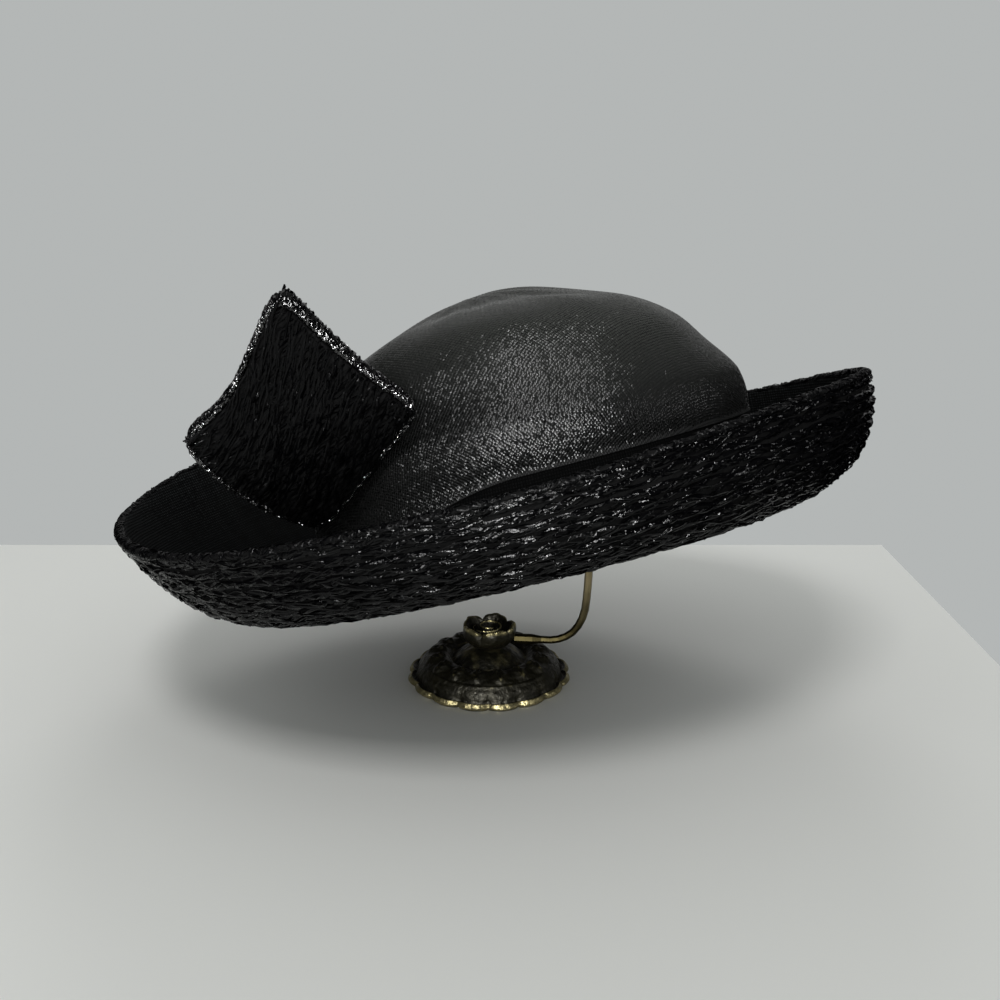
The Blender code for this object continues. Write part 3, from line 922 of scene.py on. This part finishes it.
def make_braid():
    surface = underside(CLOTH + GAP + 0.35 * BRAID)
    upper = Strands()
    lower = Strands()
    under = Strands()
    angle = turn_angles(SKIN_COLUMNS)
    for row in range(int(surface.length.max() / ROW_WIDTH)):
        distance = (row + 0.5) * ROW_WIDTH
        fits = surface.length > distance + 0.3 * ROW_WIDTH
        strands = upper if row < UPPER_ROWS else lower if row < WALL_ROWS else under
        step = ROW_STEP if row < WALL_ROWS else UNDER_STEP
        if fits.all():
            begin = rng.uniform(0, math.tau)
            plait_row(strands, surface, distance, begin, begin + math.tau + 0.02, step)
            continue
        changes = np.flatnonzero(fits & ~np.roll(fits, 1))
        for first in changes:
            length = 0
            while fits[(first + length) % SKIN_COLUMNS] and length < SKIN_COLUMNS:
                length += 1
            if length > SHORTEST_ROW:
                start = angle[first]
                end = start + math.tau * length / SKIN_COLUMNS
                plait_row(strands, surface, distance, start, end, step)
    upper.build("braid_rows_upper", braid_material, slot="straw_braid", stands_for=("braid_cover",))
    lower.build("braid_rows_lower", braid_material, slot="straw_braid")
    under.build("braid_rows_under", braid_material, slot="straw_braid")
    share = np.linspace(COVER_START, 1.0, BACKING_ROWS)
    angles, shares = np.meshgrid(turn_angles(BACKING_COLUMNS), share)
    points = brim_point(angles, shares)
    normals = surface_normal(brim_point, angles, shares)
    inner = points - normals * (CLOTH + GAP + 0.40 * BRAID)
    outer = points - normals * (CLOTH + GAP)
    backing = in_world(thick_sheet(outer, inner))
    add_grid("braid_backing", backing, backing_material, slot="straw_braid")
    return surface


def make_fray(surface):
    """Short straw ends that stand off the braid, most of them at the rim."""
    strands = Strands()
    t = np.linspace(0.0, 1.0, 4)[:, None]
    taper = np.array([1.0, 0.95, 0.8, 0.35])
    for i in range(FRAYS):
        at_rim = i < RIM_FRAYS
        distance = rng.uniform(0.0, 0.004) if at_rim else rng.uniform(0.002, 0.060)
        angle = rng.uniform(0, math.tau)
        length = rng.uniform(0.0010, 0.0030)
        base, normal = surface.at(np.array([angle]), np.array([distance]))
        ahead_point, _ = surface.at(np.array([angle + 0.01]), np.array([distance]))
        ahead = unit(ahead_point - base)[0]
        normal = normal[0]
        upward = unit(np.cross(ahead, normal))
        if upward[2] < 0:
            upward = -upward
        sign = 1.0 if rng.uniform() < 0.5 else -1.0
        rise = rng.uniform(0.0, 0.7) if at_rim else rng.uniform(-0.3, 0.3)
        way = unit(sign * ahead + rise * upward + rng.uniform(0.05, 0.40) * normal)
        bend = (rng.uniform(-0.3, 0.3) * upward + rng.uniform(-0.3, 0.1) * normal) * length
        line = base[0] + 0.0012 * normal + way * length * t + bend * t * t
        across = np.repeat(unit(np.cross(way, normal))[None], 4, axis=0)
        outward = np.repeat(unit(np.cross(across[0], way))[None], 4, axis=0)
        width = rng.uniform(0.0003, 0.0009) * taper
        strands.add(line, across, outward, width, 0.00022, rng.uniform())
    strands.build("frayed_ends", braid_material, slot="straw_braid")


def make_rim_row():
    """Plait that caps the rim, over a thin core."""
    layers = CLOTH + GAP + BRAID
    count = RIM_STEPS
    angle = np.linspace(0.0, math.tau, count)
    one = np.full_like(angle, 1.0)
    top = brim_point(angle, one)
    normal = surface_normal(brim_point, angle, one * 0.999)
    along = unit(top - brim_point(angle, one * 0.985))
    middle = top - 0.5 * layers * normal + GAP * along
    run = travelled(middle)
    rings = []
    for turn in turn_angles(10):
        rings.append(middle - 0.0019 * math.cos(turn) * normal + 0.0012 * math.sin(turn) * along)
    tube = np.stack(rings, 1)[::4]
    add_grid(
        "rim_core",
        in_world(tube),
        backing_material,
        slot="straw_braid",
        stands_for=("rim_braid",),
    )
    strands = Strands()
    per = 0.001 / (run[-1] / count)
    for k in range(RIM_STRANDS):
        pitch = RIM_PITCH + 0.002 * (k % 3)
        way = 1.0 if k % 2 else -1.0
        phase = way * math.tau * travel_share(run, pitch) + 0.8 * smooth_noise(count, 12 * per)
        around = 1.9 * np.sin(phase + 0.9 * k)
        reach_out = 0.0022 + 0.00035 * smooth_noise(count, 3 * per)
        reach_up = 0.0015 + 0.0004 * smooth_noise(count, 3 * per)
        line = middle - normal * (reach_out * np.sin(around))[:, None]
        line = line + along * (reach_up * np.cos(around))[:, None]
        out = unit(along * np.cos(around)[:, None] - normal * np.sin(around)[:, None])
        roll = 0.5 * smooth_noise(count, 4 * per)
        width = 0.0010 * (1 + 0.3 * smooth_noise(count, 5 * per))
        strands.lay(line, out, roll, width, LOOP_THICKNESS, rng.uniform())
    strands.build("rim_row", bow_material, slot="straw_braid")


# Bow


def face_strand(strands, side, v0, k):
    """One strand of a row along the bow's face, on its front or its back."""
    count = FACE_STEPS if side > 0 else BACK_STEPS
    u = np.linspace(rng.uniform(0.030, 0.050), rng.uniform(0.950, 0.970), count)
    phase = math.tau * (3.2 * u + k / BOW_ROW_STRANDS) + 1.5 * smooth_noise(count, 16)
    v = v0 + 0.50 * BOW_ROW * np.sin(phase) + 0.002 * smooth_noise(count, 5)
    v = np.clip(v, 0.035, 0.965)
    radial = np.maximum(np.abs(2 * u - 1), np.abs(2 * v - 1))
    puff = BOW_PUFF * (1 - radial**2)
    raised = 0.0007 + 0.0004 * np.cos(phase) + 0.0004 * smooth_noise(count, 4)
    lift = puff + raised
    if side < 0:
        lift = -bow_thickness(v) - lift
    line = bow_point(u, v, lift)
    out = np.broadcast_to(side * BOW_FRONT, line.shape)
    roll = 0.7 * smooth_noise(count, 4, 0.5)
    width = 0.0010 * (1 + 0.35 * smooth_noise(count, 5))
    strands.lay(line, out, roll, width, STRAND_THICKNESS, rng.uniform())


def make_bow():
    rings = [bow_ring(size, 0.0) for size in FACE_SIZES]
    rings += [bow_ring(1.0, depth, EDGING + GAP) for depth in EDGE_DEPTHS]
    rings += [bow_ring(size, 1.0) for size in BACK_SIZES]
    panel = add_grid(
        "bow_padding",
        in_world(np.stack(rings)),
        backing_material,
        slot="straw_braid",
        stands_for=("bow_panel",),
    )
    strands = Strands()
    for side in (1.0, -1.0):
        for v0 in np.arange(0.055, 0.96, BOW_ROW):
            for k in range(BOW_ROW_STRANDS):
                face_strand(strands, side, v0, k)
    strands.build("bow_strands", bow_material, slot="straw_braid")


def make_bow_edging():
    """Loops of shiny braid all round the edge of the bow."""
    count = EDGING_STEPS
    outer = bow_ring(1.0, 0.5, 0.0, count)
    inner = bow_ring(1.0, 0.5, EDGING, count)
    front = bow_ring(1.0, 0.0, 0.5 * EDGING, count)
    back = bow_ring(1.0, 1.0, 0.5 * EDGING, count)
    middle = 0.5 * (outer + inner)
    outward = 0.5 * (outer - inner)
    forward = 0.5 * (front - back)
    rings = []
    for turn in turn_angles(12):
        rings.append(middle + 0.75 * math.cos(turn) * outward + 0.85 * math.sin(turn) * forward)
    tube = np.stack(rings, 1)[::6]
    closed = np.concatenate([tube, tube[:1]])
    add_grid(
        "bow_edging_core",
        in_world(closed),
        backing_material,
        slot="straw_braid",
        stands_for=("bow_edging",),
    )
    strands = Strands()
    ends = np.concatenate([middle, middle[:1]])
    run = travelled(ends)

    def along(values, travel):
        values = np.concatenate([values, values[:1]])
        return np.stack([np.interp(travel, run, values[:, axis]) for axis in range(3)], -1)

    def wind(number, phase, reach_out, reach_on, width):
        travel = np.linspace(0.0, run[-1], number)
        at = along(middle, travel)
        o = along(outward, travel)
        f = along(forward, travel)
        line = at + o * (reach_out * np.cos(phase))[:, None]
        line = line + f * (reach_on * np.sin(phase))[:, None]
        out = unit(unit(o) * np.cos(phase)[:, None] + unit(f) * np.sin(phase)[:, None])
        roll = 1.3 * smooth_noise(number, 5, 0.5)
        strands.lay(line, out, roll, width, LOOP_THICKNESS, rng.uniform())

    for k in range(4):
        number = LOOP_STEPS
        turns = round(run[-1] / (LOOP_PITCH + 0.0005 * k))
        way = 1.0 if k % 2 else -1.0
        phase = way * math.tau * turns * np.linspace(0, 1, number)
        phase = phase + 0.9 * smooth_noise(number, 20) + k
        reach_out = 0.92 + 0.22 * smooth_noise(number, 9)
        reach_on = 0.95 + 0.12 * smooth_noise(number, 9)
        width = 0.0009 * (1 + 0.3 * smooth_noise(number, 8))
        wind(number, phase, reach_out, reach_on, width)
    for corner in (0.32, 0.5, 0.68):
        for k in range(2):
            number = FACE_LOOP_STEPS
            wave = np.sin(np.linspace(0, math.tau * FACE_LOOPS, number) + 3.1 * k)
            phase = math.pi * corner + 0.34 * wave
            phase = phase + 0.2 * smooth_noise(number, 8)
            width = 0.0011 * (1 + 0.3 * smooth_noise(number, 5))
            wind(number, phase, 1.02 + 0.1 * smooth_noise(number, 4), 1.08, width)
    strands.build("bow_edging_loops", sparkle_material, slot="straw_braid")


# Stand


def hump(value, middle, width):
    return np.exp(-(((value - middle) / width) ** 2))


def capped(points, wear, low, high):
    """Rows and their wear, closed to a point on the axis below and above."""
    bottom = np.zeros_like(points[:1])
    top = np.zeros_like(points[:1])
    bottom[..., 2] = low
    top[..., 2] = high
    wear = np.concatenate([wear[:1], wear, wear[-1:]])
    return np.concatenate([bottom, points, top]), wear


def make_foot():
    angles, shares = np.meshgrid(turn_angles(FOOT_COLUMNS), np.linspace(0.0, 1.0, FOOT_ROWS))
    out = along_table(FOOT_PROFILE, "out", shares)
    height = along_table(FOOT_PROFILE, "height", shares)
    scallop = along_table(FOOT_PROFILE, "scallop", shares)
    lobe = np.abs(np.sin(0.5 * SCALLOPS * angles)) ** 0.6
    radius = FOOT_RADIUS * out - SCALLOP_DEPTH * scallop * (1 - lobe)
    on_top = shares > 0.14
    turn = (SCALLOPS * angles) % math.tau - math.pi
    border = hump(out, 0.965, 0.016) * on_top
    groove = hump(out, 0.915, 0.020) * on_top
    ring = hump(out, 0.80, 0.012)
    collar = hump(out, 0.475, 0.013)
    reach = np.clip((out - 0.53) / (0.78 - 0.53), 0.0, 1.0)
    leaf_width = 2.6 * np.sin(math.pi * np.clip(reach, 0.02, 0.98)) ** 0.7
    leaf = np.clip(1.6 * (1 - np.abs(turn) / leaf_width), 0.0, 1.0) * (reach > 0) * (reach < 1)
    vein = hump(turn, 0.0, 0.25) * leaf
    rib = np.cos(70 * out + 3 * np.abs(turn)) * leaf * (1 - vein)
    curl = hump(out, 0.735, 0.018) * hump(turn, 0.0, 0.7)
    relief = 0.0006 * border * lobe - 0.0005 * groove + 0.0005 * ring + 0.0006 * collar
    relief = relief + LEAF_RELIEF * (leaf - 0.5 * vein) + 0.00035 * rib + 0.0009 * curl
    height = np.maximum(height + relief * on_top, 0.0)
    points = np.stack([radius * np.cos(angles), radius * np.sin(angles), height], -1)
    rim = np.clip(hump(out, 0.99, 0.028) + border * lobe, 0.0, 1.0)
    wear = 0.20 + 0.55 * rim + 0.10 * ring + 0.20 * collar + 0.5 * curl + 0.18 * rib - 0.2 * groove
    wear = wear + 0.18 * (out < 0.46)
    points, wear = capped(points, wear, 0.0, FOOT_PROFILE[-1].height)
    add_grid(
        "foot_cast",
        points,
        brass_material,
        shares=wear,
        slot="aged_brass",
        stands_for=("stand_foot",),
    )


def make_rosette():
    """Flower cup with curled lips, and a rolled petal in its middle."""
    share = np.linspace(0.0, 1.0, ROSETTE_ROWS)
    angles, shares = np.meshgrid(turn_angles(ROSETTE_COLUMNS), share)
    radius = along_table(ROSETTE_PROFILE, "radius", shares)
    height = along_table(ROSETTE_PROFILE, "height", shares)
    share_wave = along_table(ROSETTE_PROFILE, "wave", shares)
    petal = np.abs(np.cos(0.5 * PETALS * angles)) ** 0.7 * 2 - 1
    wave = PETAL_WAVE * share_wave * petal
    lip = hump(shares, 0.45, 0.08)
    radius = radius + 0.6 * wave + 0.0004 * lip * np.cos(3 * PETALS * angles)
    height = height + wave
    points = np.stack([radius * np.cos(angles), radius * np.sin(angles), height], -1)
    wear = 0.16 + 0.95 * lip * (0.6 + 0.4 * petal)
    low = ROSETTE_PROFILE[0].height
    points, wear = capped(points, wear, low, ROSETTE_PROFILE[-1].height - 0.0004)
    add_grid(
        "flower_cup",
        points,
        brass_material,
        shares=wear,
        slot="aged_brass",
        stands_for=("stand_rosette",),
    )
    t = np.linspace(0.0, 1.0, 120)[:, None]
    turn = turn_angles(12)[None]
    winding = 2.4 + 1.55 * math.tau * t
    body = np.sin(math.pi * np.clip(t, 0.01, 0.99)) ** 0.35
    radius = 0.0078 - 0.0052 * t + 0.00045 * body * np.cos(turn)
    rise = 0.0240 + 0.0010 * t + 0.0024 * body * np.sin(turn)
    winding = winding + 0 * turn
    petal = np.stack([radius * np.cos(winding), radius * np.sin(winding), rise], -1)
    worn = 0.10 + 0.85 * (np.sin(turn) > 0.6) + 0 * t
    add_grid("flower_heart", petal, brass_material, shares=worn, slot="aged_brass")


def rod_brass(name):
    n = Nodes(name)
    patch = n.noise(120.0, 4.0)
    fine = n.noise(1500.0, 2.0)
    # The rod's colour is darker towards its lower end and lighter higher up.
    up_the_rod = n.ramp(n.level(), 0.025, 0.060)
    bright = n.times(n.ramp(patch, 0.30, 0.7, 0.4, 1.0), up_the_rod)
    colour = n.mix(bright, (0.030, 0.025, 0.011, 1.0), (0.36, 0.30, 0.17, 1.0))
    rough = n.ramp(patch, 0.3, 0.7, 0.38, 0.50)
    normal = n.bump(fine, 0.0001, 0.4)
    return n.finish(Base_Color=colour, Metallic=1.0, Roughness=rough, Normal=normal)


def dress_rod():
    material = rod_brass("rod_brass")
    for name in ("stand_arm", "stand_pad"):
        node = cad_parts[name]
        node.data.materials.clear()
        node.data.materials.append(material)
        node.data.shade_smooth()


def make_fold():
    """The fold behind the bow, as the part has it, in braid."""
    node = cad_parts["bow_fold"]
    mesh = node.data.copy()
    fold = bpy.data.objects.new("bow_fold_braid", mesh)
    bpy.context.scene.collection.objects.link(fold)
    mesh.materials.clear()
    mesh.materials.append(bow_material)
    mesh.shade_smooth()
    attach(fold, "root")
    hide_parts("bow_fold")


# Floor, light and camera

BOARD_COLOUR = (0.80, 0.80, 0.77, 1.0)
BACKDROP_COLOUR = (0.455, 0.472, 0.468, 1.0)
BOARD_LOW = (-1.5, -1.5, -0.012)
BOARD_HIGH = (0.252, 0.194, -0.0001)
CAMERA_PLACE = (0.0053, -0.504, 0.241)
CAMERA_DOWN = 16.8
CAMERA_LENS = 41.08
SENSOR_WIDTH = 36.0


def make_stage():
    """Pale board whose back and right edges show, as a table against walls."""
    left, front, bottom = BOARD_LOW
    right, back, top = BOARD_HIGH
    corners = [(left, front), (right, front), (right, back), (left, back)]
    vertices = np.array([(x, y, z) for z in (bottom, top) for x, y in corners])
    sides = [[0, 3, 2, 1], [4, 5, 6, 7], [0, 1, 5, 4], [1, 2, 6, 5], [2, 3, 7, 6], [3, 0, 4, 7]]
    card = plain_card("board", BOARD_COLOUR, 300.0)
    board = add_piece("table_board", vertices, np.array(sides), card)
    board.data.shade_flat()


def add_panel(name, place, target, width, height, power, fill=True, shine=True):
    """Rectangular lamp that faces a target, for soft light, for reflections or for both."""
    light = bpy.data.lights.new(name, "AREA")
    light.shape = "RECTANGLE"
    light.size = width
    light.size_y = height
    light.energy = power
    obj = bpy.data.objects.new(name, light)
    bpy.context.scene.collection.objects.link(obj)
    way = np.array(target) - np.array(place)
    heading = math.atan2(way[1], way[0])
    pitch = math.atan2(np.hypot(way[0], way[1]), -way[2])
    obj.location = place
    obj.rotation_euler = (pitch, 0.0, heading - math.pi / 2)
    obj.visible_diffuse = fill
    obj.visible_glossy = shine


def make_lights():
    middle = (0.0, 0.0, 0.12)
    add_panel("key", (-0.15, -0.80, 1.50), middle, 0.45, 0.45, 7.9)
    add_panel("back_light", (0.05, 1.30, 1.20), middle, 0.70, 0.50, 4.0, shine=False)
    add_panel("back_panel", (0.0, 1.50, 0.80), middle, 3.0, 1.6, 6.5, fill=False)
    add_panel("ceiling", (0.05, -0.25, 1.60), middle, 0.30, 0.30, 7.0, fill=False)
    add_panel("window", (0.06, -1.35, 0.54), middle, 0.30, 0.20, 21.0, fill=False)
    add_panel("right_lamp", (1.30, -0.40, 0.50), middle, 0.22, 0.22, 2.0, fill=False)
    add_panel("left_lamp", (-0.60, -1.20, 0.75), middle, 0.18, 0.18, 6.5, fill=False)
    add_panel("glint", (-0.10, -1.25, 1.10), middle, 0.15, 0.15, 12.0, fill=False)
    world = bpy.data.worlds.new("studio")
    world.use_nodes = True
    back = world.node_tree.nodes["Background"]
    back.inputs["Color"].default_value = BACKDROP_COLOUR
    world.cycles_visibility.glossy = False
    world.cycles_visibility.transmission = False
    world.cycles_visibility.scatter = False
    bpy.context.scene.world = world


def make_camera():
    camera = bpy.data.cameras.new("photo_view")
    camera.lens = CAMERA_LENS
    camera.sensor_width = SENSOR_WIDTH
    obj = bpy.data.objects.new("photo_view", camera)
    bpy.context.scene.collection.objects.link(obj)
    obj.location = CAMERA_PLACE
    obj.rotation_euler = (math.radians(90.0 - CAMERA_DOWN), 0.0, 0.0)
    bpy.context.scene.camera = obj


make_camera()
make_stage()
make_lights()
make_crown_weave(make_crown())
make_brim()
make_fray(make_braid())
make_rim_row()
make_bow()
make_bow_edging()
make_fold()
make_foot()
make_rosette()
dress_rod()

bpy.context.scene.view_settings.view_transform = "Standard"
